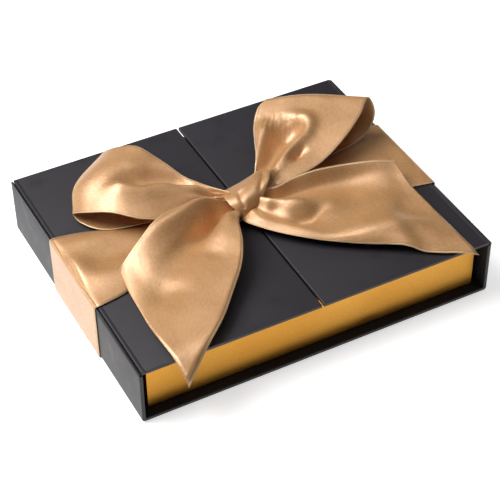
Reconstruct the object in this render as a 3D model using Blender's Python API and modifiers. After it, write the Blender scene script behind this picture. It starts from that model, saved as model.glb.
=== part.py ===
"""Gatefold gift box with a gold tray, tied with a wide satin ribbon and bow.

Frame: +X to the right, +Y to the back, +Z up, metres. The origin is on the table,
under the middle of the case. The two lids meet along Y in the middle of the top and
hinge on paper grooves along the top of the left and right sides.
"""
import math

import bmesh
import bpy
import numpy as np
from mathutils import Matrix, Vector

# Driving sizes, metres
CASE_WIDTH = 0.216          # X, outside the black cover paper
CASE_DEPTH = 0.178          # Y
CASE_HEIGHT = 0.037         # table to the top of the closed lids
BOARD = 0.0012              # greyboard
PAPER = 0.0002              # cover paper, lining paper and corner tape
GAP = 0.0003                # clearance between pieces that touch
FOLD_RADIUS = 0.0016        # outer radius of the case's bottom folds
LID_EDGE_RADIUS = 0.0004    # rounding of the wrapped lid edges
LID_SLIT = 0.0012           # between the closed lids
LID_SEAT = 0.0004           # between the lids and the top of the sides
HINGE_INSET = 0.0015        # from the side's outer face to the lid's edge
HINGE_PAPER = 0.0003        # crease paper, two layers
HINGE_AXIS_IN = 0.0006      # hinge axis, in from the side's outer face
HINGE_AXIS_DOWN = 0.0011    # hinge axis, down from the lid's top
CREASE_TOP_DOWN = 0.0005    # top of the crease paper, down from the lid's top
TRAY_SETBACK = 0.0065       # tray's front and back, in from the case's edge
TRAY_SIDE_GAP = 0.0042      # tray's sides, in from the case's lining
TRAY_LID_GAP = 0.0006       # above the tray's rim
TURN_IN = 0.012             # gold paper turned over the rim and under the floor
STAY_LEG = 0.012            # corner tape, each way from the corner
LINING_INSET = 0.0006       # lining paper, in from the panel's edge
RIBBON_WIDTH = 0.0635
RIBBON = 0.0004             # ribbon that lies flat
BOW_RIBBON = 0.0008         # ribbon of the bow, with its fine creases
BAND_LEFT_Y = -0.0025       # middle of the band where it goes down the left side
BAND_RIGHT_Y = 0.0015       # and down the right side
BAND_NECK = 0.026           # gathered width of the band under the knot
KNOT_SIZE = (0.019, 0.024, 0.016)
KNOT_ROUND = 0.003
TIP_OVERHANG = 0.007        # tail tips past the case's front edge
TIP_SLOPE = 1.6             # how steeply the tips hang, drop over reach
TIP_BEND = 0.004            # how far past the edge the bend takes
TAIL_REST = 0.0022          # lowest layer of the bow over the lids
MM = 0.001

# Sizes that follow
PANEL = PAPER + GAP + BOARD + GAP + PAPER
WRAP_EDGE = PAPER + GAP + BOARD
CASE_BOTTOM = RIBBON + GAP
LID_BOTTOM = CASE_HEIGHT - PANEL
SIDE_TOP = LID_BOTTOM - LID_SEAT
LINING_TOP = CASE_BOTTOM + PANEL
HALF_WIDTH = CASE_WIDTH / 2
HALF_DEPTH = CASE_DEPTH / 2
TRAY_HALF_X = HALF_WIDTH - PANEL - TRAY_SIDE_GAP
TRAY_HALF_Y = HALF_DEPTH - TRAY_SETBACK
TRAY_BOTTOM = LINING_TOP + GAP
TRAY_TOP = LID_BOTTOM - TRAY_LID_GAP
TRAY_WALL = PAPER + GAP + PAPER + GAP + BOARD + GAP + PAPER
TRAY_BOARD_IN = PAPER + GAP + PAPER + GAP
FLOOR_BOARD_Z = TRAY_BOTTOM + PAPER + GAP
FLOOR_TOP = FLOOR_BOARD_Z + BOARD + GAP + PAPER
KNOT_FACE = KNOT_SIZE[0] / 2 + GAP + RIBBON / 2
BAND_TOP = CASE_HEIGHT + GAP + RIBBON


def clear_scene():
    for obj in list(bpy.data.objects):
        bpy.data.objects.remove(obj, do_unlink=True)


def new_collection(name):
    collection = bpy.data.collections.new(name)
    bpy.context.scene.collection.children.link(collection)
    return collection


def finish(name, color, roughness, metallic=0.0):
    material = bpy.data.materials.new(name)
    material.use_nodes = True
    shader = material.node_tree.nodes["Principled BSDF"]
    shader.inputs["Base Color"].default_value = (*color, 1.0)
    shader.inputs["Roughness"].default_value = roughness
    shader.inputs["Metallic"].default_value = metallic
    return material


clear_scene()
PARTS = new_collection("gift_box")
CUTTERS = new_collection("cutters")
BLACK_PAPER = finish("black_paper", (0.045, 0.042, 0.050), 0.55)
LINING_PAPER = finish("lining_paper", (0.030, 0.028, 0.032), 0.65)
GREYBOARD = finish("greyboard", (0.34, 0.31, 0.27), 0.90)
GOLD_PAPER = finish("gold_paper", (0.62, 0.36, 0.08), 0.38, 0.6)
STAY_PAPER = finish("stay_paper", (0.70, 0.66, 0.58), 0.85)
SATIN = finish("satin_ribbon", (0.62, 0.42, 0.22), 0.42)


def add_mesh(name, mesh, material, collection=None):
    obj = bpy.data.objects.new(name, mesh)
    mesh.materials.clear()
    mesh.materials.append(material)
    (collection or PARTS).objects.link(obj)
    return obj


def box(name, low, high, material, collection=None, rounding=0.0):
    """A box between two corners, its origin at its own middle."""
    low, high = Vector(low), Vector(high)
    cage = bmesh.new()
    bmesh.ops.create_cube(cage, size=1.0)
    bmesh.ops.scale(cage, vec=high - low, verts=cage.verts)
    mesh = bpy.data.meshes.new(name)
    cage.to_mesh(mesh)
    cage.free()
    obj = add_mesh(name, mesh, material, collection)
    obj.location = (low + high) / 2
    if rounding:
        round_edges(obj, rounding)
    return obj


def round_edges(obj, width, segments=3):
    bevel = obj.modifiers.new("edge", "BEVEL")
    bevel.width = width
    bevel.segments = segments


def thicken(obj, thickness, offset):
    wall = obj.modifiers.new("wall", "SOLIDIFY")
    wall.thickness = thickness
    wall.offset = offset
    wall.use_even_offset = True
    wall.use_quality_normals = True


def extruded(name, outline, low, high, material, along="Z", collection=None):
    """A closed flat outline drawn as a 2D curve and extruded along Y or Z."""
    curve = bpy.data.curves.new(name, "CURVE")
    curve.dimensions = "2D"
    curve.fill_mode = "BOTH"
    curve.extrude = (high - low) / 2
    spline = curve.splines.new("POLY")
    spline.points.add(len(outline) - 1)
    for point, (a, b) in zip(spline.points, outline):
        point.co = (a, b, 0.0, 1.0)
    spline.use_cyclic_u = True
    drawn = bpy.data.objects.new(name + "_outline", curve)
    PARTS.objects.link(drawn)
    middle = (low + high) / 2
    if along == "Z":
        drawn.matrix_world = Matrix.Translation((0, 0, middle))
    else:
        drawn.matrix_world = Matrix.Translation((0, middle, 0)) @ Matrix.Rotation(math.pi / 2, 4, "X")
    bpy.context.view_layer.update()
    evaluated = drawn.evaluated_get(bpy.context.evaluated_depsgraph_get())
    mesh = bpy.data.meshes.new_from_object(evaluated)
    weld_caps(mesh)
    obj = add_mesh(name, mesh, material, collection)
    obj.matrix_world = drawn.matrix_world.copy()
    bpy.data.objects.remove(drawn, do_unlink=True)
    return obj


def weld_caps(mesh):
    solid = bmesh.new()
    solid.from_mesh(mesh)
    bmesh.ops.remove_doubles(solid, verts=solid.verts, dist=1e-6)
    bmesh.ops.recalc_face_normals(solid, faces=solid.faces)
    solid.to_mesh(mesh)
    solid.free()


def cut(obj, cutter):
    cutter.hide_render = True
    cutter.display_type = "WIRE"
    boolean = obj.modifiers.new("cut", "BOOLEAN")
    boolean.operation = "DIFFERENCE"
    boolean.object = cutter
    boolean.solver = "EXACT"


def shell(name, loops, thickness, material, closed_end=False, rounding=0.0, middle=(0, 0)):
    """A skin through rectangles (half x, half y, z), thickened inward.

    The rectangles run so that the skin's outside faces away from its board.
    """
    skin = bmesh.new()
    rings = []
    for half_x, half_y, z in loops:
        corners = ((-half_x, -half_y), (half_x, -half_y), (half_x, half_y), (-half_x, half_y))
        rings.append([skin.verts.new((middle[0] + x, middle[1] + y, z)) for x, y in corners])
    for lower, upper in zip(rings, rings[1:]):
        for i in range(4):
            j = (i + 1) % 4
            skin.faces.new((lower[i], lower[j], upper[j], upper[i]))
    if closed_end:
        skin.faces.new(rings[-1])
    mesh = bpy.data.meshes.new(name)
    skin.to_mesh(mesh)
    skin.free()
    obj = add_mesh(name, mesh, material)
    if rounding:
        round_edges(obj, rounding, 2)
    thicken(obj, thickness, -1.0)
    return obj


def arc(cx, cz, radius, start, end, steps=5):
    angles = np.linspace(math.radians(start), math.radians(end), steps)
    return [(cx + radius * math.cos(a), cz + radius * math.sin(a)) for a in angles]


def u_path(inset, top):
    """Left side, base and right side, seen from the front, from one top to the other."""
    radius = max(FOLD_RADIUS - inset, GAP)
    side = HALF_WIDTH - inset
    bottom = CASE_BOTTOM + inset
    left = arc(-side + radius, bottom + radius, radius, 180, 270)
    right = arc(side - radius, bottom + radius, radius, 270, 360)
    return [(-side, top)] + left + right + [(side, top)]


def u_channel(name, inset, thickness, top, half_length, material, collection=None):
    outline = u_path(inset, top) + u_path(inset + thickness, top)[::-1]
    return extruded(name, outline, -half_length, half_length, material, "Y", collection)


def make_case():
    """Black cover paper, three boards and the lining: the part that stands on the table."""
    cover = u_channel("case_cover", 0.0, WRAP_EDGE, SIDE_TOP, HALF_DEPTH, BLACK_PAPER)
    hollow = u_channel("case_cover_hollow", PAPER, PANEL, SIDE_TOP - PAPER,
                       HALF_DEPTH - PAPER, GREYBOARD, CUTTERS)
    cut(cover, hollow)
    edge = HALF_DEPTH - PAPER - GAP
    base_z = CASE_BOTTOM + PAPER + GAP
    box("base_board", (-HALF_WIDTH + FOLD_RADIUS, -edge, base_z),
        (HALF_WIDTH - FOLD_RADIUS, edge, base_z + BOARD), GREYBOARD)
    outer = HALF_WIDTH - PAPER - GAP
    side_low = base_z + BOARD + GAP
    side_high = SIDE_TOP - PAPER - GAP
    box("left_side_board", (-outer, -edge, side_low), (-outer + BOARD, edge, side_high), GREYBOARD)
    box("right_side_board", (outer - BOARD, -edge, side_low), (outer, edge, side_high), GREYBOARD)
    u_channel("case_lining", PANEL - PAPER, PAPER, SIDE_TOP - PAPER,
              HALF_DEPTH - LINING_INSET, LINING_PAPER)


def make_hinge_creases():
    """The paper that folds where each lid joins its side, an angle along the edge."""
    low = SIDE_TOP + GAP
    high = CASE_HEIGHT - CREASE_TOP_DOWN
    reach = HINGE_INSET - GAP - LINING_INSET / 2
    for side, name in ((-1, "left_hinge_crease"), (1, "right_hinge_crease")):
        outer = HALF_WIDTH
        profile = [(outer, low), (outer, high), (outer - reach, high),
                   (outer - reach, high - HINGE_PAPER), (outer - HINGE_PAPER, high - HINGE_PAPER),
                   (outer - HINGE_PAPER, low)]
        outline = [(side * x, z) for x, z in profile]
        extruded(name, outline, -HALF_DEPTH, HALF_DEPTH, BLACK_PAPER, "Y")


def make_tray():
    """A five-board tray with taped corners, wrapped and lined with gold paper."""
    low = FLOOR_BOARD_Z
    high = TRAY_TOP - PAPER - GAP
    out_x, out_y = TRAY_HALF_X - TRAY_BOARD_IN, TRAY_HALF_Y - TRAY_BOARD_IN
    in_x, in_y = out_x - BOARD, out_y - BOARD
    box("tray_front_board", (-out_x, -out_y, low), (out_x, -in_y, high), GREYBOARD)
    box("tray_back_board", (-out_x, in_y, low), (out_x, out_y, high), GREYBOARD)
    box("tray_left_board", (-out_x, -in_y + GAP, low), (-in_x, in_y - GAP, high), GREYBOARD)
    box("tray_right_board", (in_x, -in_y + GAP, low), (out_x, in_y - GAP, high), GREYBOARD)
    box("tray_floor_board", (-in_x + GAP, -in_y + GAP, low), (in_x - GAP, in_y - GAP, low + BOARD),
        GREYBOARD)
    tape_x, tape_y = out_x + GAP + PAPER, out_y + GAP + PAPER
    for side_x, side in ((-1, "left"), (1, "right")):
        for side_y, end in ((-1, "front"), (1, "back")):
            profile = [(tape_x - STAY_LEG, tape_y), (tape_x, tape_y), (tape_x, tape_y - STAY_LEG),
                       (tape_x - PAPER, tape_y - STAY_LEG), (tape_x - PAPER, tape_y - PAPER),
                       (tape_x - STAY_LEG, tape_y - PAPER)]
            outline = [(side_x * x, side_y * y) for x, y in profile]
            extruded(f"tray_{end}_{side}_corner_tape", outline, low, high, STAY_PAPER)
    inner_x, inner_y = TRAY_HALF_X - TRAY_WALL, TRAY_HALF_Y - TRAY_WALL
    shell("tray_wrap",
          [(TRAY_HALF_X - TURN_IN, TRAY_HALF_Y - TURN_IN, TRAY_BOTTOM),
           (TRAY_HALF_X, TRAY_HALF_Y, TRAY_BOTTOM), (TRAY_HALF_X, TRAY_HALF_Y, TRAY_TOP),
           (inner_x, inner_y, TRAY_TOP), (inner_x, inner_y, TRAY_TOP - TURN_IN)],
          PAPER, GOLD_PAPER)
    lining_x, lining_y = inner_x + PAPER, inner_y + PAPER
    lining = shell("tray_lining",
                   [(lining_x, lining_y, FLOOR_TOP - PAPER),
                    (lining_x, lining_y, TRAY_TOP - TURN_IN - GAP)],
                   PAPER, GOLD_PAPER)
    close_floor(lining)


def close_floor(obj):
    """Closes the lowest rectangle of an open skin with one face that looks down."""
    skin = bmesh.new()
    skin.from_mesh(obj.data)
    skin.verts.ensure_lookup_table()
    skin.faces.new([skin.verts[i] for i in (3, 2, 1, 0)])
    skin.to_mesh(obj.data)
    skin.free()


def make_lid(side, name):
    """A wrapped board. side is -1 for the left lid and +1 for the right one."""
    half_x = (HALF_WIDTH - HINGE_INSET - LID_SLIT / 2) / 2
    middle = side * (LID_SLIT / 2 + half_x)
    shell(name + "_cover",
          [(half_x, HALF_DEPTH, CASE_HEIGHT - WRAP_EDGE), (half_x, HALF_DEPTH, CASE_HEIGHT)],
          PAPER, BLACK_PAPER, closed_end=True, rounding=LID_EDGE_RADIUS, middle=(middle, 0))
    inner = PAPER + GAP
    box(name + "_board",
        (middle - half_x + inner, -HALF_DEPTH + inner, CASE_HEIGHT - WRAP_EDGE),
        (middle + half_x - inner, HALF_DEPTH - inner, CASE_HEIGHT - inner), GREYBOARD)
    box(name + "_lining",
        (middle - half_x + LINING_INSET, -HALF_DEPTH + LINING_INSET, LID_BOTTOM),
        (middle + half_x - LINING_INSET, HALF_DEPTH - LINING_INSET, LID_BOTTOM + PAPER),
        LINING_PAPER)


def make_band():
    """The ribbon that runs round the box: under it, up both sides and over both lids."""
    half = RIBBON_WIDTH / 2
    side_out = HALF_WIDTH + GAP + RIBBON
    under = [(-side_out, BAND_LEFT_Y - half), (side_out, BAND_RIGHT_Y - half),
             (side_out, BAND_RIGHT_Y + half), (-side_out, BAND_LEFT_Y + half)]
    extruded("ribbon_under_band", under, 0.0, RIBBON, SATIN)
    for side, name, y in ((-1, "left", BAND_LEFT_Y), (1, "right", BAND_RIGHT_Y)):
        inner_x, outer_x = side * (HALF_WIDTH + GAP), side * side_out
        box(f"ribbon_{name}_side_band",
            (min(inner_x, outer_x), y - half, RIBBON + GAP),
            (max(inner_x, outer_x), y + half, SIDE_TOP), SATIN)
        start = side * (HALF_WIDTH - HINGE_INSET - 2 * LINING_INSET)
        end = side * LID_SLIT / 2
        neck = BAND_NECK / 2
        top = [(start, y - half), (start, y + half), (end, neck), (end, -neck)]
        extruded(f"ribbon_{name}_top_band", top, CASE_HEIGHT + GAP, BAND_TOP, SATIN)


def smooth_path(points, steps=4):
    """Points along a Catmull-Rom curve through the given ones."""
    points = [np.array(p, float) for p in points]
    ends = [2 * points[0] - points[1]] + points + [2 * points[-1] - points[-2]]
    path = []
    for p0, p1, p2, p3 in zip(ends, ends[1:], ends[2:], ends[3:]):
        for t in np.arange(steps) / steps:
            path.append(0.5 * (2 * p1 + (p2 - p0) * t + (2 * p0 - 5 * p1 + 4 * p2 - p3) * t**2
                               + (3 * p1 - p0 - 3 * p2 + p3) * t**3))
    return path + [points[-1]]


def hang_over_front(point):
    """A tail lies above the lids and slopes down where it passes their front edge."""
    x, y, z = point
    past = -HALF_DEPTH - y
    if past > 0:
        return x, y, TAIL_REST - TIP_SLOPE * past**2 / (past + TIP_BEND)
    return x, y, max(z, TAIL_REST)


def ribbon_strip(name, edges, across=8, hang=False):
    """A ribbon lofted between its two edges, given in millimetres over the lids' top."""
    one = smooth_path([a for a, b in edges])
    other = smooth_path([b for a, b in edges])
    sheet = bmesh.new()
    rows = []
    for a, b in zip(one, other):
        row = []
        for t in np.linspace(0, 1, across + 1):
            point = (a * (1 - t) + b * t) * MM
            if hang:
                point = hang_over_front(point)
            row.append(sheet.verts.new((point[0], point[1], CASE_HEIGHT + point[2])))
        rows.append(row)
    for row, following in zip(rows, rows[1:]):
        for i in range(across):
            sheet.faces.new((row[i], row[i + 1], following[i + 1], following[i]))
    mesh = bpy.data.meshes.new(name)
    sheet.to_mesh(mesh)
    sheet.free()
    thicken(add_mesh(name, mesh, SATIN), BOW_RIBBON, 0.0)


def make_bow():
    """Knot, two loops and two tails, all carried by the left lid."""
    face = KNOT_FACE / MM
    front = (-HALF_DEPTH - TIP_OVERHANG) / MM
    knot_low = BAND_TOP + GAP
    box("bow_knot", (-KNOT_SIZE[0] / 2, -KNOT_SIZE[1] / 2, knot_low),
        (KNOT_SIZE[0] / 2, KNOT_SIZE[1] / 2, knot_low + KNOT_SIZE[2]), SATIN, rounding=KNOT_ROUND)
    ribbon_strip("bow_left_loop", [
        ((-face, 0, 13), (-face, 8, 13)), ((-24, 1, 13.5), (-20, 22, 17)),
        ((-42, 2, 13), (-33, 42, 21)), ((-60, 3, 14), (-47, 60, 24)),
        ((-78, 14, 13), (-63, 63, 24.5)), ((-88, 26, 9.5), (-79, 58, 18)),
        ((-90, 33, 5), (-83, 55, 9)), ((-84, 26, 2.4), (-74, 56, 3.5)),
        ((-68, 16, 2.2), (-56, 52, 2.4)), ((-40, 8, 2.4), (-34, 34, 2.6)),
        ((-22, 3, 3.4), (-20, 17, 3.6)), ((-face, 1, 5.5), (-face, 8, 5.5))])
    ribbon_strip("bow_right_loop", [
        ((face, 0, 13), (face, 8, 13)), ((22, -1, 14.5), (22, 24, 17)),
        ((38, 0, 15.5), (34, 46, 21)), ((54, 2, 18), (48, 60, 25)),
        ((70, 6, 21), (66, 54, 27)), ((86, 14, 24), (84, 42, 28)),
        ((96, 20, 20), (96, 34, 24)), ((98, 23, 12), (98, 36, 14)),
        ((90, 23, 4.5), (92, 40, 5)), ((74, 20, 2.4), (76, 44, 2.6)),
        ((48, 12, 2.4), (50, 38, 2.6)), ((26, 5, 3.2), (26, 20, 3.4)),
        ((face, 1, 5.5), (face, 8, 5.5))])
    ribbon_strip("bow_left_tail", [
        ((-face, -2.5, 9.5), (-face, -8.5, 9.5)), ((-24, -3, 15), (-12, -18, 10.5)),
        ((-41, -4, 19), (-17, -30, 6)), ((-58, -7, 16.5), (-27, -46, 3.2)),
        ((-72, -11, 9.5), (-40, -61, 2.0)), ((-83, -14, 4), (-58, -78, 1.8)),
        ((-86, -17, 2.5), (-84, front, 0))], across=24, hang=True)
    ribbon_strip("bow_right_tail", [
        ((face, -2.5, 8.5), (face, -8.5, 8.5)), ((24, 2, 9.5), (12, -30, 4)),
        ((42, 3, 9), (30, -52, 2.6)), ((66, -2, 8.5), (58, -72, 1.8)),
        ((84, -8, 9), (80, -85, 1.6)), ((92, -13, 9), (93, front, 0))], across=24, hang=True)


make_case()
make_hinge_creases()
make_tray()
make_lid(-1, "left_lid")
make_lid(1, "right_lid")
make_band()
make_bow()
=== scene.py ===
"""Looks for a gatefold gift box: black paper wraps, gold tray, wide satin ribbon with a bow.

Everything is in metres in the frame's own place: +X to the right, +Y to the back, +Z up.
Ribbon shapes are given in millimetres, their heights over the top of the closed lids.
"""

import math

import bmesh
import bpy
import numpy as np
from mathutils import Matrix, Vector, noise


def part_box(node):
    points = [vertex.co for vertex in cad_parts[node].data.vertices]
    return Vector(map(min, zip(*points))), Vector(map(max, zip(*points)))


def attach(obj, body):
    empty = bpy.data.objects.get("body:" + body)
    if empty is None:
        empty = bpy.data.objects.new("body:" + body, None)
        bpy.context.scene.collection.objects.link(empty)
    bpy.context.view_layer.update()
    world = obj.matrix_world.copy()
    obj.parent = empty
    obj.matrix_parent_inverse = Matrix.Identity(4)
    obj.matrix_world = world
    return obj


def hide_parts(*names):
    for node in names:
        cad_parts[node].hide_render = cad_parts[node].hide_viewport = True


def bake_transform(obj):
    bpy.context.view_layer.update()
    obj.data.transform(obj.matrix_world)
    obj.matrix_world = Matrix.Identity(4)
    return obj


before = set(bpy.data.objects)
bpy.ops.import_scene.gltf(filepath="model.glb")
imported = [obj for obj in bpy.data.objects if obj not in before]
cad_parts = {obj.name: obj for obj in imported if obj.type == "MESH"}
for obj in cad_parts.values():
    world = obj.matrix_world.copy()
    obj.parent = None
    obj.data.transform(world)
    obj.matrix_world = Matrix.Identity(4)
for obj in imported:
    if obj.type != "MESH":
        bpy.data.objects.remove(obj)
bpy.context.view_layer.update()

MM = 0.001

# Sizes read from the frame
case_low, case_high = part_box("case_cover")
lid_low, lid_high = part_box("left_lid_cover")
lining_low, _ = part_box("left_lid_lining")
HALF_WIDTH = case_high.x
HALF_DEPTH = case_high.y
SIDE_TOP = case_high.z
CASE_BOTTOM = case_low.z
LID_TOP = lid_high.z
LID_BOTTOM = lining_low.z
PANEL = LID_TOP - LID_BOTTOM
LID_EDGE = -lid_low.x
LID_SLIT = -lid_high.x

# Sizes of the finish
LINING_PROUD = 0.0001       # lining paper stands this far out of the wrapped panel
FOLD_RADIUS = 0.0016        # bottom folds of the case
EDGE_RADIUS = 0.0006        # wrapped edges of the boards
END_BEVEL = 0.0004          # rounding of a wrapped panel's front and back ends
HINGE_PAPER = 0.0003        # the fold where a lid joins its side
SCORE_IN = 0.0022           # scored line beside each hinge, in from the lid's edge
SCORE_WIDE = 0.0006
SCORE_DEEP = 0.00012
RIBBON_WIDTH = 0.0635
RIBBON_THICK = 0.0004
UNDER_THICK = 0.0003        # the same ribbon pressed flat under the box
WARP_PITCH = 0.00042        # between satin threads that run along the ribbon
WEFT_PITCH = 0.00055        # between threads that cross it
HEM_WIDE = 0.0011           # woven edge, in to the middle of the groove beside it
GROOVE_CORE = 0.0001        # each way from that middle at full depth
GROOVE_REACH = 0.0004       # and to where the groove ends
STITCH_PITCH = 0.0009       # woven edge loops along the ribbon
STITCH_LONG = 0.0007
STITCH_WIDE = 0.00038

# Camera, from the middle of the box
VIEW_AZIMUTH = -27.37       # degrees, 0 looks along +Y
VIEW_ELEVATION = 41.30
VIEW_ROLL = -0.74
VIEW_DISTANCE = 0.909
VIEW_RIGHT = 0.0024
VIEW_DOWN = 0.0087
LENS = 113.3

# Shares and paces of the bow's folds
TOP_LAYER = 0.42            # of a loop's length, over which its upper layer's folds run
LAYER_FADE = 0.04           # of that length, in which they die away
TAIL_REST = 1.8             # mm, lowest height of a tail over the lids
TIP_SLOPE = 0.6             # drop over reach of a tip that hangs past the edge
TIP_BEND = 6.0              # mm past the edge that the bend takes
RIPPLE_PACE = 0.09          # slow ripples to a millimetre over the lids
RIPPLE_PACE_UP = 0.05       # and upwards
FINE_PACE = 3.1             # fine ripples to a slow one
FINE_SHARE = 0.4

# Studio
WORLD_LEVEL = 0.1
FLOOR_REACH = 4
FLOOR_GREY = 0.74
FLOOR_GLOW = 0.6


# ---------------------------------------------------------------- node helpers

def add_node(tree, kind, **inputs):
    """A node whose inputs are set to values or linked to sockets by name."""
    node = tree.nodes.new(kind)
    for name, value in inputs.items():
        socket = node.inputs[name]
        if isinstance(value, bpy.types.NodeSocket):
            tree.links.new(value, socket)
        else:
            socket.default_value = value
    return node


def math_node(tree, operation, a, b=0.0, c=0.0):
    """The output of a sum on values or sockets."""
    node = tree.nodes.new("ShaderNodeMath")
    node.operation = operation
    for socket, value in zip(node.inputs, (a, b, c)):
        if isinstance(value, bpy.types.NodeSocket):
            tree.links.new(value, socket)
        else:
            socket.default_value = value
    return node.outputs[0]


def mix_color(tree, factor, a, b, blend="MIX"):
    """Colour a turned into colour b by a factor from 0 to 1."""
    node = tree.nodes.new("ShaderNodeMix")
    node.data_type = "RGBA"
    node.blend_type = blend
    for socket, value in zip((node.inputs[0], node.inputs[6], node.inputs[7]), (factor, a, b)):
        if isinstance(value, bpy.types.NodeSocket):
            tree.links.new(value, socket)
        else:
            socket.default_value = value
    return node.outputs[2]


def ramp(tree, value, low, high, to_low=0.0, to_high=1.0):
    """A soft step from to_low to to_high as value goes from low to high."""
    node = tree.nodes.new("ShaderNodeMapRange")
    node.interpolation_type = "SMOOTHSTEP"
    tree.links.new(value, node.inputs["Value"])
    for name, number in zip(("From Min", "From Max", "To Min", "To Max"),
                            (low, high, to_low, to_high)):
        node.inputs[name].default_value = number
    return node.outputs["Result"]


def noise_value(tree, vector, scale, detail=2.0, roughness=0.5):
    node = add_node(tree, "ShaderNodeTexNoise", Scale=scale, Detail=detail, Roughness=roughness)
    tree.links.new(vector, node.inputs["Vector"])
    return node.outputs["Fac"]


def group_tree(name, inputs, outputs):
    """A shader node group with its sockets, and its inner ends by socket name."""
    tree = bpy.data.node_groups.new(name, "ShaderNodeTree")
    for label, kind, value in inputs:
        socket = tree.interface.new_socket(label, in_out="INPUT", socket_type=kind)
        if value is not None:
            socket.default_value = value
    for label, kind in outputs:
        tree.interface.new_socket(label, in_out="OUTPUT", socket_type=kind)
    entry = tree.nodes.new("NodeGroupInput")
    leave = tree.nodes.new("NodeGroupOutput")
    return tree, entry.outputs, leave.inputs


def make_paper_grain():
    """Fine pulp grain and slow handling marks of a paper, from object coordinates."""
    tree, entry, leave = group_tree(
        "paper_grain",
        [("Vector", "NodeSocketVector", None), ("Grain", "NodeSocketFloat", 1400.0)],
        [("Height", "NodeSocketFloat"), ("Tone", "NodeSocketFloat"), ("Marks", "NodeSocketFloat")])
    fine = noise_value(tree, entry["Vector"], entry["Grain"], 3.0)
    broad = noise_value(tree, entry["Vector"], 18.0, 3.0)
    rubbed = noise_value(tree, entry["Vector"], 65.0, 4.0, 0.65)
    tree.links.new(fine, leave["Height"])
    tree.links.new(ramp(tree, broad, 0.3, 0.7), leave["Tone"])
    tree.links.new(ramp(tree, rubbed, 0.45, 0.75), leave["Marks"])
    return tree


def make_satin_weave():
    """Satin threads, slub, small crumples and the woven edge, from a UV map in metres.

    U runs along the ribbon and V across it, from 0 to the ribbon's width.
    """
    tree, entry, leave = group_tree(
        "satin_weave",
        [("UV", "NodeSocketVector", None), ("Width", "NodeSocketFloat", RIBBON_WIDTH)],
        [("Height", "NodeSocketFloat"), ("Tone", "NodeSocketFloat"),
         ("Glint", "NodeSocketFloat"), ("GrooveShade", "NodeSocketFloat"), ("Hem", "NodeSocketFloat")])
    parts = tree.nodes.new("ShaderNodeSeparateXYZ")
    tree.links.new(entry["UV"], parts.inputs[0])
    along, across = parts.outputs[0], parts.outputs[1]
    warp = math_node(tree, "SINE", math_node(tree, "MULTIPLY", across, 2 * math.pi / WARP_PITCH))
    weft = math_node(tree, "SINE", math_node(tree, "MULTIPLY", along, 2 * math.pi / WEFT_PITCH))
    threads = math_node(tree, "MULTIPLY_ADD", warp, 0.6, math_node(tree, "MULTIPLY", weft, 0.4))
    stretched = tree.nodes.new("ShaderNodeMapping")
    stretched.inputs["Scale"].default_value = (420.0, 1500.0, 1.0)
    tree.links.new(entry["UV"], stretched.inputs["Vector"])
    slub = noise_value(tree, stretched.outputs[0], 1.0, 2.0, 0.6)
    crumple = math_node(tree, "MULTIPLY", noise_value(tree, entry["UV"], 170.0, 2.0), 2.2)
    height = math_node(tree, "MULTIPLY_ADD", threads, 0.35, math_node(tree, "ADD", slub, crumple))
    tree.links.new(height, leave["Height"])
    tree.links.new(ramp(tree, noise_value(tree, entry["UV"], 55.0, 3.0), 0.3, 0.7), leave["Tone"])
    # Glint: where the slubs catch the light, used for painted glints in the colour and for lower
    # roughness.
    tree.links.new(ramp(tree, slub, 0.35, 0.7), leave["Glint"])
    # The groove in from the woven edge: a dip for the bump, and the mask that paints shade into it.
    from_far = math_node(tree, "SUBTRACT", entry["Width"], across)
    from_edge = math_node(tree, "MINIMUM", across, from_far)
    from_groove = math_node(tree, "ABSOLUTE", math_node(tree, "SUBTRACT", from_edge, HEM_WIDE))
    groove = ramp(tree, from_groove, GROOVE_CORE, GROOVE_REACH, 1.0, 0.0)
    tree.links.new(groove, leave["GrooveShade"])
    hem = ramp(tree, from_edge, HEM_WIDE - GROOVE_REACH, HEM_WIDE, 1.0, 0.0)
    tree.links.new(hem, leave["Hem"])
    return tree


PAPER_GRAIN = make_paper_grain()
SATIN_WEAVE = make_satin_weave()


def material_with_shader(name):
    material = bpy.data.materials.new(name)
    material.use_nodes = True
    tree = material.node_tree
    return material, tree, tree.nodes["Principled BSDF"]


def bump(tree, height, strength, distance, shader):
    node = tree.nodes.new("ShaderNodeBump")
    node.inputs["Strength"].default_value = strength
    node.inputs["Distance"].default_value = distance
    tree.links.new(height, node.inputs["Height"])
    tree.links.new(node.outputs["Normal"], shader.inputs["Normal"])


def paper_material(name, low, high, roughness, grain, relief, specular=0.5, metallic=0.0):
    """A paper or board whose colour and gloss drift a little over its surface.

    grain is the number of grains to a metre, and relief how strongly they stand out.
    """
    material, tree, shader = material_with_shader(name)
    coords = tree.nodes.new("ShaderNodeTexCoord")
    group = tree.nodes.new("ShaderNodeGroup")
    group.node_tree = PAPER_GRAIN
    group.inputs["Grain"].default_value = grain
    tree.links.new(coords.outputs["Object"], group.inputs["Vector"])
    color = mix_color(tree, group.outputs["Tone"], (*low, 1), (*high, 1))
    speck = ramp(tree, group.outputs["Height"], 0.3, 0.7, 0.94, 1.06)
    shade = tree.nodes.new("ShaderNodeCombineColor")
    for socket in shade.inputs:
        tree.links.new(speck, socket)
    color = mix_color(tree, 1.0, color, shade.outputs[0], "MULTIPLY")
    tree.links.new(color, shader.inputs["Base Color"])
    gloss = ramp(tree, group.outputs["Marks"], 0.0, 1.0, roughness + 0.04, roughness - 0.04)
    tree.links.new(gloss, shader.inputs["Roughness"])
    shader.inputs["Metallic"].default_value = metallic
    shader.inputs["Specular IOR Level"].default_value = specular
    bump(tree, group.outputs["Height"], strength=relief, distance=0.0001, shader=shader)
    return material


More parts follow.
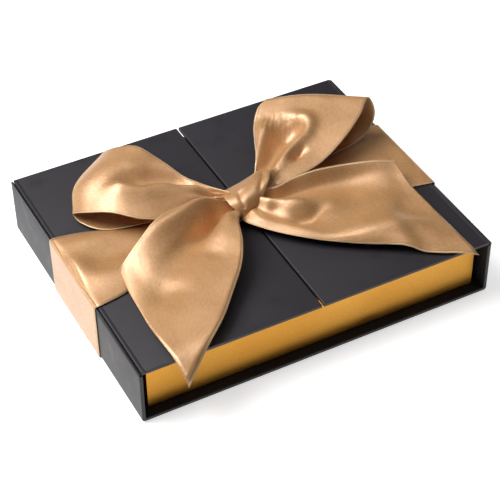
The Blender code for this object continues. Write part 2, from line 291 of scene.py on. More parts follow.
def satin_material(name, deep, bright, hem_and_glint_tint, roughness):
    """Satin: a ground between a deep and a bright tone, with painted glints on its slubs, a pale woven
    edge, and painted shade darkening the groove in from that edge.
    """
    material, tree, shader = material_with_shader(name)
    uv = tree.nodes.new("ShaderNodeUVMap")
    uv.uv_map = "ribbon"
    group = tree.nodes.new("ShaderNodeGroup")
    group.node_tree = SATIN_WEAVE
    tree.links.new(uv.outputs[0], group.inputs["UV"])
    color = mix_color(tree, group.outputs["Tone"], (*deep, 1), (*bright, 1))
    # Painted shade: the groove mask darkens the colour towards this deeper copy of the ground.
    dark = tuple(0.4 * part for part in deep)
    # Painted glints: the slub mask lightens the colour towards the pale tint, a painted highlight; the
    # woven edge takes that tint as its own thread colour.
    for mask, share, tint in (("Glint", 0.3, hem_and_glint_tint), ("Hem", 0.6, hem_and_glint_tint), ("GrooveShade", 0.5, dark)):
        amount = math_node(tree, "MULTIPLY", group.outputs[mask], share)
        color = mix_color(tree, amount, color, (*tint, 1))
    tree.links.new(color, shader.inputs["Base Color"])
    gloss = ramp(tree, group.outputs["Glint"], 0.0, 1.0, roughness + 0.05, roughness - 0.05)
    tree.links.new(gloss, shader.inputs["Roughness"])
    shader.inputs["Metallic"].default_value = 0.35
    shader.inputs["IOR"].default_value = 1.8
    shader.inputs["Specular IOR Level"].default_value = 0.8
    shader.inputs["Sheen Weight"].default_value = 0.25
    shader.inputs["Sheen Roughness"].default_value = 0.35
    shader.inputs["Sheen Tint"].default_value = (1.0, 0.9, 0.72, 1.0)
    shader.inputs["Coat Weight"].default_value = 0.6
    shader.inputs["Coat Roughness"].default_value = 0.42
    height = math_node(tree, "SUBTRACT", group.outputs["Height"], group.outputs["GrooveShade"])
    bump(tree, height, strength=0.45, distance=0.00014, shader=shader)
    return material


BLACK_PAPER = paper_material(
    "soft_black_paper", low=(0.021, 0.0185, 0.023), high=(0.026, 0.023, 0.028),
    roughness=0.46, grain=1500.0, relief=0.05)
LINING_PAPER = paper_material(
    "black_lining_paper", low=(0.016, 0.015, 0.017), high=(0.021, 0.020, 0.022),
    roughness=0.62, grain=1100.0, relief=0.12, specular=0.4)
GREYBOARD = paper_material(
    "greyboard", low=(0.28, 0.25, 0.21), high=(0.36, 0.33, 0.29),
    roughness=0.9, grain=700.0, relief=0.5)
CORNER_TAPE = paper_material(
    "gummed_tape", low=(0.62, 0.58, 0.50), high=(0.72, 0.68, 0.60),
    roughness=0.85, grain=900.0, relief=0.3)
GOLD_PAPER = paper_material(
    "gold_paper", low=(0.66, 0.30, 0.037), high=(0.72, 0.35, 0.053),
    roughness=0.36, grain=1800.0, relief=0.06, metallic=0.85)
# hem_and_glint_tint is the woven edge's own pale thread colour and the painted glint on the slubs.
SATIN = satin_material(
    "champagne_satin", deep=(0.54, 0.24, 0.065), bright=(0.63, 0.31, 0.10),
    hem_and_glint_tint=(0.86, 0.62, 0.36), roughness=0.38)
STITCH_THREAD = paper_material(
    "edge_thread", low=(0.84, 0.48, 0.18), high=(0.94, 0.62, 0.28),
    roughness=0.45, grain=2500.0, relief=0.1, metallic=0.2)


def paint(obj, material):
    obj.data.materials.clear()
    obj.data.materials.append(material)


def finish_nodes():
    """The boards, linings and the tray keep their shapes and get their papers."""
    for name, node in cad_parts.items():
        if "board" in name:
            paint(node, GREYBOARD)
        elif "tape" in name:
            paint(node, CORNER_TAPE)
        elif name in ("tray_wrap", "tray_lining"):
            paint(node, GOLD_PAPER)
        elif "lining" in name:
            paint(node, LINING_PAPER)
        elif "ribbon" in name or "bow" in name:
            paint(node, SATIN)
        else:
            paint(node, BLACK_PAPER)


# ---------------------------------------------------------------- wrapped panels

def add_object(name, mesh, material):
    obj = bpy.data.objects.new(name, mesh)
    bpy.context.scene.collection.objects.link(obj)
    paint(obj, material)
    return obj


def corner(cx, cz, radius, start, end, steps=6):
    """Points of a rounded corner, angles in degrees from +X towards +Z."""
    angles = np.radians(np.linspace(start, end, steps))
    return [(cx + radius * math.cos(a), cz + radius * math.sin(a)) for a in angles]


def paper_panel(name, outline):
    """A closed outline in X and Z run the case's depth along Y, in black paper, its ends rounded."""
    solid = bmesh.new()
    rings = [[solid.verts.new((x, y, z)) for x, z in outline] for y in (-HALF_DEPTH, HALF_DEPTH)]
    count = len(outline)
    for i in range(count):
        j = (i + 1) % count
        solid.faces.new((rings[0][i], rings[0][j], rings[1][j], rings[1][i]))
    solid.faces.new(rings[0])
    solid.faces.new(rings[1])
    bmesh.ops.recalc_face_normals(solid, faces=solid.faces)
    for face in solid.faces:
        face.smooth = True
    mesh = bpy.data.meshes.new(name)
    solid.to_mesh(mesh)
    solid.free()
    obj = add_object(name, mesh, BLACK_PAPER)
    rounding = obj.modifiers.new("edge", "BEVEL")
    rounding.width = END_BEVEL
    rounding.segments = 3
    rounding.limit_method = "ANGLE"
    rounding.angle_limit = math.radians(40)
    rounding.harden_normals = True
    return obj


def make_case_wrap():
    """One sheet of black paper round the base and the two sides."""
    r = FOLD_RADIUS
    e = EDGE_RADIUS
    thick = PANEL - LINING_PROUD
    side, base = HALF_WIDTH, CASE_BOTTOM
    outer = corner(-side + r, base + r, r, 180, 270) + corner(side - r, base + r, r, 270, 360)
    right_rim = corner(side - e, SIDE_TOP - e, e, 0, 90)
    right_in = corner(side - thick + e, SIDE_TOP - e, e, 90, 180)
    floor = [(side - thick, base + thick), (-side + thick, base + thick)]
    left_in = corner(-side + thick - e, SIDE_TOP - e, e, 0, 90)
    left_rim = corner(-side + e, SIDE_TOP - e, e, 90, 180)
    outline = outer + right_rim + right_in + floor + left_in + left_rim
    wrap = paper_panel("case_wrap", outline)
    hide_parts("case_cover")
    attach(wrap, "case")


def make_lid_wrap(side, name):
    """A lid's wrapped board, with the scored line beside its hinge."""
    e = EDGE_RADIUS
    low = LID_BOTTOM + LINING_PROUD
    score = LID_EDGE - SCORE_IN
    half = SCORE_WIDE / 2
    profile = [(score - half, LID_TOP), (score, LID_TOP - SCORE_DEEP), (score + half, LID_TOP)]
    profile += corner(LID_EDGE - e, LID_TOP - e, e, 90, 0)
    profile += corner(LID_EDGE - e / 2, low + e / 2, e / 2, 0, -90, 4)
    profile += corner(LID_SLIT + e / 2, low + e / 2, e / 2, -90, -180, 4)
    profile += corner(LID_SLIT + e, LID_TOP - e, e, 180, 90)
    outline = [(side * x, z) for x, z in profile]
    wrap = paper_panel(f"{name}_wrap", outline)
    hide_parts(f"{name}_cover")
    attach(wrap, name)


def smooth_rows(rows, steps):
    """Rows of points with a smooth curve run through them, steps rows for each gap."""
    rows = np.asarray(rows, float)
    first, last = 2 * rows[0] - rows[1], 2 * rows[-1] - rows[-2]
    rows = np.concatenate([[first], rows, [last]])
    out = []
    for p0, p1, p2, p3 in zip(rows, rows[1:], rows[2:], rows[3:]):
        for t in np.arange(steps) / steps:
            out.append(0.5 * (2 * p1 + (p2 - p0) * t + (2 * p0 - 5 * p1 + 4 * p2 - p3) * t**2
                              + (3 * p1 - p0 - 3 * p2 + p3) * t**3))
    out.append(rows[-2])
    return np.array(out)


def grid_mesh(name, grid, uv=None):
    """A sheet from a grid of points in metres, with an optional UV for each point."""
    rows, columns = grid.shape[:2]
    mesh = bpy.data.meshes.new(name)
    faces = []
    for i in range(rows - 1):
        for j in range(columns - 1):
            a = i * columns + j
            faces.append((a, a + 1, a + columns + 1, a + columns))
    mesh.from_pydata(grid.reshape(-1, 3).tolist(), [], faces)
    for polygon in mesh.polygons:
        polygon.use_smooth = True
    if uv is not None:
        layer = mesh.uv_layers.new(name="ribbon")
        flat = uv.reshape(-1, 2)
        for loop in mesh.loops:
            layer.data[loop.index].uv = flat[loop.vertex_index]
    return mesh


def thicken(obj, thickness):
    """Gives a sheet its thickness, half to each side."""
    wall = obj.modifiers.new("wall", "SOLIDIFY")
    wall.thickness = thickness
    wall.offset = 0.0
    wall.use_quality_normals = True


def make_hinge_fold(side, name):
    """The paper that folds where a lid joins its side: a low rib in a dark groove.

    Its profile is in millimetres, in from the side's face and over the lid's top.
    """
    profile = [(0.17, -2.5), (0.17, -1.5), (0.4, -0.95), (0.9, -1.0), (1.25, -1.7)]
    path = smooth_rows(profile, 4)
    grid = np.array([[(side * (HALF_WIDTH - inset * MM), y, LID_TOP + z * MM)
                      for y in (-HALF_DEPTH, HALF_DEPTH)] for inset, z in path])
    grid = grid[::-1] if side > 0 else grid
    fold = add_object(f"{name}_hinge_fold", grid_mesh(f"{name}_hinge_fold", grid),
                      BLACK_PAPER)
    thicken(fold, HINGE_PAPER)
    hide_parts(f"{name}_hinge_crease")
    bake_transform(fold)


# ---------------------------------------------------------------- ribbon

class Crease:
    """A fold that runs along a path seen from above: a ridge if rise is positive.

    near and far are its widths to the left and right of the path's direction. It works up
    to last, a share of the ribbon's length, and fade gives the shares of its own path over
    which it rises and falls.
    """

    def __init__(self, path, rise, near, far=None, last=1.0, fade=(0.2, 0.2)):
        self.path = smooth_rows(np.array(path, float), 12)
        self.rise, self.near, self.far = rise, near, far or near
        self.last, self.fade = last, fade

    def apply(self, grid, reach):
        span = np.linalg.norm(np.diff(self.path, axis=0), axis=1)
        length = np.concatenate([[0], np.cumsum(span)]) / span.sum()
        flat = grid[..., :2].reshape(-1, 2)
        gap = flat[:, None, :] - self.path[None, :, :]
        distance = np.linalg.norm(gap, axis=2)
        nearest = distance.argmin(axis=1)
        along = np.gradient(self.path, axis=0)[nearest]
        offset = gap[np.arange(len(flat)), nearest]
        turn = along[:, 0] * offset[:, 1] - along[:, 1] * offset[:, 0]
        wide = np.where(turn > 0, self.near, self.far)
        height = np.exp(-(distance.min(axis=1) / wide) ** 2)
        q = length[nearest]
        height *= soft_step(q / max(self.fade[0], 1e-6)) * soft_step((1 - q) / max(self.fade[1], 1e-6))
        height = height.reshape(grid.shape[:2])
        inside = soft_step((self.last - reach) / LAYER_FADE + 1)
        grid[..., 2] += self.rise * height * inside[:, None]


def soft_step(t):
    t = np.clip(t, 0, 1)
    return t * t * (3 - 2 * t)


def shares(grid):
    """How far along the ribbon each row lies, from 0 to 1, and the middle's length."""
    middle = grid[:, grid.shape[1] // 2]
    steps = np.linalg.norm(np.diff(middle, axis=0), axis=1)
    length = np.concatenate([[0], np.cumsum(steps)])
    return length / length[-1], length[-1]


def ribbon_grid(stations, creases=(), *, across, along=8, ripple=0.12, seed=0.0):
    """Points of a ribbon, in millimetres, through stations of points across it.

    along and across are the steps for each gap between stations and over the whole width.
    """
    columns = len(stations[0])
    per_gap = max(1, across // (columns - 1))
    wide = [smooth_rows(station, per_gap) for station in stations]
    grid = smooth_rows(wide, along)
    reach, _ = shares(grid)
    for crease in creases:
        crease.apply(grid, reach)
    for row in grid:
        for point in row:
            x, y, z = point
            place = Vector((x * RIPPLE_PACE + seed, y * RIPPLE_PACE, z * RIPPLE_PACE_UP + seed))
            fine = FINE_SHARE * ripple * noise.noise(place * FINE_PACE)
            point[2] += ripple * noise.noise(place) + fine
    return grid


def ribbon(name, grid, thick=RIBBON_THICK):
    """A ribbon piece from its grid in millimetres, with its UV map in metres."""
    reach, length = shares(grid)
    across = np.linalg.norm(np.diff(grid, axis=1), axis=2).cumsum(axis=1)
    uv = np.zeros(grid.shape[:2] + (2,))
    uv[..., 0] = (reach * length * MM)[:, None]
    uv[:, 1:, 1] = RIBBON_WIDTH * across / across[:, -1:]
    placed = grid * MM + np.array((0, 0, LID_TOP))
    obj = add_object(name, grid_mesh(name, placed, uv), SATIN)
    thicken(obj, thick)
    return obj


def gather(grid, pleats, first, last, ends):
    """Pleats the ribbon where it is drawn narrower than its width, near its gathered ends.

    first and last say how much of the spare width the pleats take up at either end, and
    ends the shares of the length at which the first pleats end and the last begin.
    """
    reach, _ = shares(grid)
    across = np.linspace(0, 1, grid.shape[1])
    at_first = first * soft_step(1 - reach / ends[0])
    at_last = last * soft_step((reach - ends[1]) / (1 - ends[1]))
    for row, taken in zip(grid, at_first + at_last):
        width = np.linalg.norm(np.diff(row, axis=0), axis=1).sum()
        spare = math.sqrt(max((RIBBON_WIDTH / MM) ** 2 - width**2, 0))
        row[:, 2] += taken * spare / (4 * pleats) * np.cos(2 * math.pi * pleats * across)


def hang_front(grid):
    """Lets the part of a tail past the lids' front edge hang, and keeps the rest over the lids."""
    past = np.maximum(-HALF_DEPTH / MM - grid[..., 1], 0)
    drop = TIP_SLOPE * past**2 / (past + TIP_BEND)
    lying = np.maximum(grid[..., 2], TAIL_REST)
    grid[..., 2] = np.where(past > 0, np.minimum(lying, lying - drop), lying)
    return grid


def make_left_loop():
    """Out from the knot over the left lid, round its open end and back beneath itself."""
    stations = [
        [(-8, 0, 8), (-8, 2, 10), (-7, 5, 9)],
        [(-27, 4, 9), (-22, 10, 11), (-16, 16, 11.5)],
        [(-47, 1, 12.5), (-38, 18, 16), (-26, 29, 17)],
        [(-62, 5, 15), (-52, 25, 19.5), (-34, 43, 21)],
        [(-75, 16, 16.5), (-63, 35, 23), (-42, 54, 25)],
        [(-85, 27, 12.5), (-75, 44, 20.5), (-52, 61, 23)],
        [(-90, 35, 8), (-82, 51, 14), (-58, 66, 18)],
        [(-90, 37, 5.5), (-79, 54, 9), (-57, 67, 13)],
        [(-88, 32, 2.6), (-76, 48, 4), (-55, 62, 6)],
        [(-81, 22, 2.2), (-69, 37, 2.8), (-50, 52, 3.4)],
        [(-68, 15, 2.4), (-55, 29, 2.8), (-40, 42, 3.2)],
        [(-46, 10, 3), (-37, 19, 3.5), (-27, 29, 4)],
        [(-24, 7, 4.5), (-19, 11, 5), (-14, 16, 5.4)],
        [(-8, 3, 7), (-8, 4, 7), (-7, 6, 7)],
    ]
    creases = [
        Crease([(-14, 9), (-28, 16), (-40, 21), (-54, 22), (-64, 27), (-68, 38)], 4.2, 8, 3.4,
               last=TOP_LAYER),
        Crease([(-20, 17), (-38, 29), (-54, 33), (-62, 44)], -5.0, 6,
               last=TOP_LAYER, fade=(0.3, 0.3)),
    ]
    grid = ribbon_grid(stations, creases, across=60, seed=1.0)
    gather(grid, pleats=3, first=0.6, last=1.0, ends=(0.16, 0.58))
    return grid


def make_right_loop():
    """Out from the knot to the back right, round its end and back beneath itself."""
    stations = [
        [(9, 9, 6), (11, 5, 9), (11, 0, 7)],
        [(19, 23, 12), (27, 15, 16), (30, 1, 10)],
        [(25, 36, 14), (44, 30, 19), (51, 3, 13.5)],
        [(31, 48, 18), (54, 41, 22.5), (70, 10, 19)],
        [(38, 56, 22.5), (62, 47, 25), (87, 20, 24)],
        [(45, 59, 24.5), (69, 49, 26), (97, 29, 27)],
        [(46, 62, 21), (72, 52, 22.5), (100, 27, 23)],
        [(47, 62, 13), (73, 53, 15), (99, 23, 17)],
        [(47, 56, 6), (71, 46, 7), (94, 21, 9)],
        [(45, 46, 3), (66, 37, 3.2), (84, 20, 4)],
        [(42, 35, 2.6), (56, 29, 2.6), (68, 18, 2.6)],
        [(32, 23, 3.4), (39, 19, 3.5), (46, 14, 3.6)],
        [(12, 8, 7), (12, 6, 7), (12, 3, 6.5)],
    ]
    creases = [
        Crease([(15, 17), (27, 32), (40, 48)], 4.4, 5, last=TOP_LAYER, fade=(0.1, 0.3)),
        Crease([(17, 11), (30, 22), (42, 33), (51, 45)], -7.0, 7,
               last=TOP_LAYER, fade=(0.1, 0.35)),
        Crease([(38, 27), (46, 31), (55, 34)], -4.5, 6, 4, last=TOP_LAYER, fade=(0.6, 0.25)),
        Crease([(15, 7), (28, 13), (42, 20.5), (54, 25), (58, 33), (50, 43)], 3.4, 3.6, 4,
               last=TOP_LAYER, fade=(0.1, 0.2)),
        Crease([(34, 12), (41, 14), (48, 15.5)], -4.4, 2.4, last=TOP_LAYER, fade=(0.35, 0.3)),
    ]
    grid = ribbon_grid(stations, creases, across=60, seed=2.0)
    gather(grid, pleats=3, first=0.4, last=1.0, ends=(0.12, 0.66))
    return grid


def make_left_tail():
    """From the knot to the front left, with a trough down its middle and a tip past the edge."""
    stations = [
        [(-8, 0, 7), (-8, -1, 8), (-8, -2, 6.5), (-8, -3, 4.5), (-8, -6, 8), (-7, -8, 7)],
        [(-23, 5, 15), (-24, 1, 17.5), (-20, -1, 11), (-16, -4, 4.5), (-16, -11, 12), (-15, -21, 13.5)],
        [(-39, 1, 18.5), (-40, -4, 20), (-35, -9, 12), (-30, -13, 4.5), (-26, -23, 12.5), (-21, -37, 14)],
        [(-56, -3, 19), (-56, -8, 18), (-51, -14, 12), (-46, -20, 6), (-39, -35, 10), (-29, -51, 12)],
        [(-71, -10, 14), (-71, -14, 13), (-68, -23, 9.5), (-63, -33, 6), (-55, -50, 9), (-41, -65, 10)],
        [(-82, -15, 8), (-82, -20, 7), (-80, -32, 5), (-77, -46, 4), (-72, -63, 6.5), (-58, -83, 8)],
        [(-86, -17, 5), (-88, -32, 3), (-89, -48, 2.8), (-90, -64, 3.5), (-90, -80, 5), (-88, -106, 3.5)],
    ]
    creases = [
        Crease([(-80, -38), (-70, -46), (-57, -52)], -1.4, 7, 7, fade=(0.4, 0.4)),
        Crease([(-34, -31), (-42, -38)], -0.6, 5, 5, fade=(0.4, 0.4)),
        Crease([(-14, -7), (-23, -13), (-32, -20), (-42, -27)], 2.6, 8, 2.4, fade=(0.2, 0.4)),
        Crease([(-13, -2), (-24, -8), (-36, -16), (-48, -24)], -2.4, 3, 5, fade=(0.2, 0.5)),
    ]
    return hang_front(ribbon_grid(stations, creases, along=10, across=30, seed=3.0))


def make_right_tail():
    """From the knot along the front right, its back edge standing up and its tip past the edge."""
    stations = [
        [(10, 0, 12), (9, -3, 7), (6, -6, 12), (3, -8, 8), (-2, -9, 8), (-7, -8, 4)],
        [(19, -3, 12.5), (17, -7, 5.5), (12, -13, 13), (8, -18, 7), (1, -20, 8), (-7, -16, 5.5)],
        [(31, -1, 13), (29, -8, 5), (24, -19, 12), (18, -27, 7), (12, -32, 7.5), (4, -31, 5.5)],
        [(45, -2, 14), (44, -9, 5), (38, -25, 9), (31, -38, 7), (24, -45, 7), (17, -44, 5.5)],
        [(63, -5, 13.5), (61, -13, 5), (55, -32, 5.5), (47, -46, 7), (40, -56, 7), (34, -57, 4.5)],
        [(79, -10, 13.5), (78, -20, 7.5), (73, -42, 4.5), (66, -57, 6.5), (60, -68, 5), (54, -70, 2.6)],
        [(87, -13, 12.5), (86, -26, 6), (84, -50, 4), (80, -67, 5.5), (78, -79, 3), (74, -84, 2)],
        [(90, -14, 12), (91, -30, 5.5), (92, -52, 4), (93, -68, 3), (94, -83, 2.2), (95, -95, 1.8)],
    ]
    creases = [
        Crease([(7, -12), (11, -16.5), (15, -19)], -2.0, 2.2, 2.2, fade=(0.5, 0.5)),
        Crease([(13, -15), (21, -22), (32, -21)], 2.2, 6, 5, fade=(0.5, 0.5)),
        Crease([(11, -25), (23, -31), (34, -28), (44, -26)], -3.4, 4, 3, fade=(0.3, 0.4)),
        Crease([(24, -48), (57, -60), (90, -62)], 2.4, 10, 5, fade=(0.4, 0.3)),
        Crease([(66, -84), (61, -66), (66, -46), (84, -32)], 3.6, 17, 7, fade=(0.2, 0.4)),
    ]
    return hang_front(ribbon_grid(stations, creases, along=8, across=40, seed=4.0))


def make_knot():
    """The short turn of ribbon that wraps the middle of the bow, from back to front."""
    stations = [
        [(-6, 9, 4), (3, 11, 5), (12, 14, 5), (20, 13, 5)],
        [(-10, 12, 8), (2, 12, 10.5), (12, 12, 13.5), (20, 10, 15.5)],
        [(-12, 3, 12), (-2, 2, 14.5), (8, 2, 17), (16, 1, 17)],
        [(-12, -4, 12), (-4, -5, 14.5), (4, -5, 15), (9.5, -5, 12.5)],
        [(-10, -8, 9), (-5.5, -9, 11), (0, -9, 9.5), (4, -8, 6)],
        [(-9.5, -9, 4), (-6, -10, 4.5), (-2, -9.5, 4), (2, -8, 3)],
    ]
    creases = [
        Crease([(-2, 3), (-4.5, -4), (-5, -10)], -1.5, 1.0, 2.0, fade=(0.3, 0.1)),
        Crease([(17, 9), (11, 1), (5, -6)], -1.2, 1.1, 1.4, fade=(0.2, 0.3)),
        Crease([(18, 13), (6, 5), (-6, -1)], 1.0, 1.6, 2.4, fade=(0.2, 0.3)),
    ]
    return ribbon_grid(stations, creases, along=8, across=33, ripple=0.1, seed=5.0)


def run_row(x, places, heights):
    """A station across a run, at places along Y and heights over the lids."""
    return [(x, y, z) for y, z in zip(places, heights)]


def up_the_side(side, places):
    """Stations from the foot of one side up and over its hinge, as far out as they are proud."""
    climb = ((0.4, -36.5), (0.45, -18), (0.5, -3), (0.4, -0.6), (-0.2, 0.4))
    return [[(side * (HALF_WIDTH / MM + proud), y, z) for y in places] for proud, z in climb]


def make_left_run():
    """Up the left side, over the hinge and along the left lid to the knot."""
    stations = up_the_side(-1, (-34, -18, -2.5, 13, 29))
    stations += [
        run_row(-106.9, (-34, -18, -2, 13, 29), (0.45, 0.35, 0.5, 0.35, 0.45)),
        run_row(-104, (-34, -16, -2, 13, 28.5), (0.9, 2.0, 4.0, 2.0, 0.9)),
        run_row(-92, (-32, -16, -1, 15, 26), (0.9, 4.0, 1.4, 4.2, 1.0)),
        run_row(-78, (-28, -17, 0, 14, 21.5), (0.9, 4.0, 0.8, 3.8, 1.0)),
        run_row(-58, (-23, -13, 0, 9, 16), (1.0, 2.6, 1.2, 2.4, 1.0)),
        run_row(-30, (-14, -7, 0, 6, 12), (1.2, 2.4, 1.2, 2.2, 1.2)),
        run_row(-2, (-7, -3, 0, 4, 9), (1.0, 1.8, 1.0, 1.8, 1.0)),
    ]
    return ribbon_grid(stations, along=6, across=32, ripple=0.0)


def make_right_run():
    """Up the right side, over the hinge and along the right lid to the knot."""
    places = (33, 17, 1.5, -14, -30)
    stations = up_the_side(1, places)
    stations += [
        run_row(106.9, places, (0.45, 0.4, 0.5, 0.4, 0.45)),
        run_row(104, places, (0.8, 1.1, 0.8, 1.1, 0.8)),
        run_row(84, (28, 14, 0, -13, -26), (0.8, 1.6, 0.9, 1.6, 0.8)),
        run_row(50, (20, 10, 0, -10, -19), (0.9, 1.8, 1.0, 1.8, 0.9)),
        run_row(2, (9, 4, 0, -3, -7), (1.0, 1.8, 1.0, 1.8, 1.0)),
    ]
    return ribbon_grid(stations, along=6, across=32, ripple=0.0)


def make_under_run():
    """Flat under the box, from the foot of the left side to the foot of the right."""
    foot, depth = 107.9, -36.8
    half = RIBBON_WIDTH / MM / 2
    stations = [[(x, middle + y, depth) for y in (half, 0, -half)]
                for x, middle in ((-foot, -2.5), (0, -0.5), (foot, 1.5))]
    return ribbon_grid(stations, along=10, across=16, ripple=0.0)


# ---------------------------------------------------------------- woven edge

def make_stitch_tree():
    """Beads of thread along edge lines, an even pitch apart and turned along the line."""
    tree = bpy.data.node_groups.new("woven_edge", "GeometryNodeTree")
    tree.interface.new_socket("Lines", in_out="INPUT", socket_type="NodeSocketGeometry")
    for label, value in (("Pitch", STITCH_PITCH), ("Long", STITCH_LONG), ("Wide", STITCH_WIDE)):
        socket = tree.interface.new_socket(label, in_out="INPUT", socket_type="NodeSocketFloat")
        socket.default_value = value
    tree.interface.new_socket("Thread", in_out="INPUT", socket_type="NodeSocketMaterial")
    tree.interface.new_socket("Stitches", in_out="OUTPUT", socket_type="NodeSocketGeometry")
    entry = tree.nodes.new("NodeGroupInput")
    leave = tree.nodes.new("NodeGroupOutput")
    link = tree.links.new
    curve = tree.nodes.new("GeometryNodeMeshToCurve")
    link(entry.outputs["Lines"], curve.inputs["Mesh"])
    spaced = tree.nodes.new("GeometryNodeResampleCurve")
    spaced.mode = "LENGTH"
    link(curve.outputs["Curve"], spaced.inputs["Curve"])
    link(entry.outputs["Pitch"], spaced.inputs["Length"])
    points = tree.nodes.new("GeometryNodeCurveToPoints")
    points.mode = "EVALUATED"
    link(spaced.outputs["Curve"], points.inputs["Curve"])
    bead = tree.nodes.new("GeometryNodeMeshUVSphere")
    bead.inputs["Segments"].default_value = 6
    bead.inputs["Rings"].default_value = 4
    bead.inputs["Radius"].default_value = 0.5
    size = tree.nodes.new("ShaderNodeCombineXYZ")
    link(entry.outputs["Wide"], size.inputs["X"])
    link(entry.outputs["Wide"], size.inputs["Y"])
    link(entry.outputs["Long"], size.inputs["Z"])
    placed = tree.nodes.new("GeometryNodeInstanceOnPoints")
    link(points.outputs["Points"], placed.inputs["Points"])
    link(bead.outputs["Mesh"], placed.inputs["Instance"])
    link(points.outputs["Rotation"], placed.inputs["Rotation"])
    link(size.outputs["Vector"], placed.inputs["Scale"])
    real = tree.nodes.new("GeometryNodeRealizeInstances")
    link(placed.outputs["Instances"], real.inputs["Geometry"])
    thread = tree.nodes.new("GeometryNodeSetMaterial")
    link(real.outputs["Geometry"], thread.inputs["Geometry"])
    link(entry.outputs["Thread"], thread.inputs["Material"])
    link(thread.outputs["Geometry"], leave.inputs["Stitches"])
    return tree


STITCH_TREE = make_stitch_tree()


def stitches(name, grids):
    """One mesh of the woven edges of these ribbons, both edges of each."""
    points, lines = [], []
    for grid in grids:
        for edge in (grid[:, 0], grid[:, -1]):
            start = len(points)
            points += (edge * MM + np.array((0, 0, LID_TOP))).tolist()
            lines += [(i, i + 1) for i in range(start, len(points) - 1)]
    mesh = bpy.data.meshes.new(name + "_lines")
    mesh.from_pydata(points, lines, [])
    carrier = bpy.data.objects.new(name + "_lines", mesh)
    bpy.context.scene.collection.objects.link(carrier)
    modifier = carrier.modifiers.new("stitches", "NODES")
    modifier.node_group = STITCH_TREE
    for item in STITCH_TREE.interface.items_tree:
        if item.item_type == "SOCKET" and item.in_out == "INPUT" and item.name == "Thread":
            modifier[item.identifier] = STITCH_THREAD
    bpy.context.view_layer.update()
    evaluated = carrier.evaluated_get(bpy.context.evaluated_depsgraph_get())
    result = bpy.data.meshes.new_from_object(evaluated)
    result.name = name
    bpy.data.objects.remove(carrier, do_unlink=True)
    return add_object(name, result, STITCH_THREAD)


def blend_over_hinge(obj):
    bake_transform(obj)


def make_ribbons():
    """The bow rides on the left lid, and each side's run lies up its side and over its hinge as one piece
    fixed in place.
    """
    left_loop, right_loop = make_left_loop(), make_right_loop()
    left_tail, right_tail = make_left_tail(), make_right_tail()
    knot_grid = make_knot()
    for name, grid in (("bow_left_loop", left_loop), ("bow_right_loop", right_loop),
                       ("bow_left_tail", left_tail), ("bow_right_tail", right_tail),
                       ("bow_knot", knot_grid)):
        piece = ribbon(name.replace("bow_", "satin_"), grid)
        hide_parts(name)
        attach(piece, "left_lid")
    edges = stitches("bow_woven_edges", [left_loop, right_loop, left_tail, right_tail])
    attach(edges, "left_lid")
    for side, name, grid in ((-1, "left", make_left_run()), (1, "right", make_right_run())):
        run = ribbon(f"satin_{name}_run", grid)
        thread = stitches(f"{name}_run_woven_edges", [grid])
        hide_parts(f"ribbon_{name}_side_band", f"ribbon_{name}_top_band")
        blend_over_hinge(run)
        blend_over_hinge(thread)
    under = make_under_run()
    piece = ribbon("satin_under_run", under, UNDER_THICK)
    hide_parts("ribbon_under_band")
    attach(piece, "case")


# ---------------------------------------------------------------- floor, light, camera

def make_floor():
    """A plain pale floor that keeps the soft contact shadow."""
    mesh = bpy.data.meshes.new("floor")
    corners = [(FLOOR_REACH * x, FLOOR_REACH * y, 0) for x, y in ((-1, -1), (1, -1), (1, 1), (-1, 1))]
    mesh.from_pydata(corners, [], [(0, 1, 2, 3)])
    floor = bpy.data.objects.new("floor", mesh)
    floor.location.z = -0.0001
    bpy.context.scene.collection.objects.link(floor)
    material, tree, shader = material_with_shader("pale_floor")
    paths = tree.nodes.new("ShaderNodeLightPath")
    seen = math_node(tree, "MAXIMUM", paths.outputs["Is Camera Ray"], paths.outputs["Is Glossy Ray"])
    shader.inputs["Base Color"].default_value = (FLOOR_GREY, FLOOR_GREY, FLOOR_GREY, 1)
    shader.inputs["Roughness"].default_value = 0.9
    shader.inputs["Specular IOR Level"].default_value = 0.0
    shader.inputs["Emission Color"].default_value = (1, 1, 1, 1)
    glow = math_node(tree, "MULTIPLY", seen, FLOOR_GLOW)
    tree.links.new(glow, shader.inputs["Emission Strength"])
    floor.data.materials.append(material)


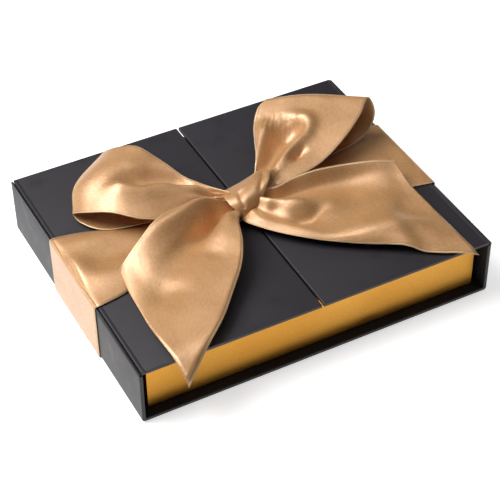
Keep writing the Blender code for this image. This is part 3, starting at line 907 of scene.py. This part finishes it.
def add_lamp(name, place, side, power):
    """A square softbox aimed at the box, its side in metres and its power in watts."""
    lamp = bpy.data.lights.new(name, "AREA")
    lamp.shape = "SQUARE"
    lamp.size = side
    lamp.energy = power
    obj = bpy.data.objects.new(name, lamp)
    bpy.context.scene.collection.objects.link(obj)
    obj.location = place
    obj.rotation_euler = (-Vector(place)).to_track_quat("-Z", "Y").to_euler()


def make_light():
    """A key softbox at the back left, a weak one overhead and a plain pale world."""
    world = bpy.data.worlds.new("studio")
    world.use_nodes = True
    tree = world.node_tree
    ground = tree.nodes["Background"]
    paths = tree.nodes.new("ShaderNodeLightPath")
    strength = math_node(tree, "MULTIPLY_ADD", paths.outputs["Is Camera Ray"],
                         1 - WORLD_LEVEL, WORLD_LEVEL)
    ground.inputs["Color"].default_value = (1, 1, 1, 1)
    tree.links.new(strength, ground.inputs["Strength"])
    bpy.context.scene.world = world
    add_lamp("left_softbox", (-0.85, 0.42, 1.3), 1.0, 32.0)
    add_lamp("top_softbox", (0.1, 0.1, 1.7), 1.2, 5.0)


def make_camera():
    """Looks down at the box from its front left, a little rolled."""
    azimuth, elevation, roll = (math.radians(a) for a in (VIEW_AZIMUTH, VIEW_ELEVATION, VIEW_ROLL))
    back = Vector((math.sin(azimuth) * math.cos(elevation),
                   -math.cos(azimuth) * math.cos(elevation), math.sin(elevation)))
    right = Vector((math.cos(azimuth), math.sin(azimuth), 0))
    up = back.cross(right)
    turned_right = right * math.cos(roll) + up * math.sin(roll)
    turned_up = up * math.cos(roll) - right * math.sin(roll)
    place = Vector((0, 0, LID_TOP / 2)) + turned_right * VIEW_RIGHT - turned_up * VIEW_DOWN
    place += back * VIEW_DISTANCE
    data = bpy.data.cameras.new("camera")
    data.lens = LENS
    data.sensor_width = 36
    camera = bpy.data.objects.new("camera", data)
    bpy.context.scene.collection.objects.link(camera)
    turn = Matrix((turned_right, turned_up, back)).transposed()
    camera.matrix_world = Matrix.Translation(place) @ turn.to_4x4()
    bpy.context.scene.camera = camera


finish_nodes()
make_case_wrap()
make_lid_wrap(-1, "left_lid")
make_lid_wrap(1, "right_lid")
make_hinge_fold(-1, "left")
make_hinge_fold(1, "right")
make_ribbons()
make_floor()
make_light()
make_camera()
bpy.context.scene.view_settings.view_transform = "Standard"
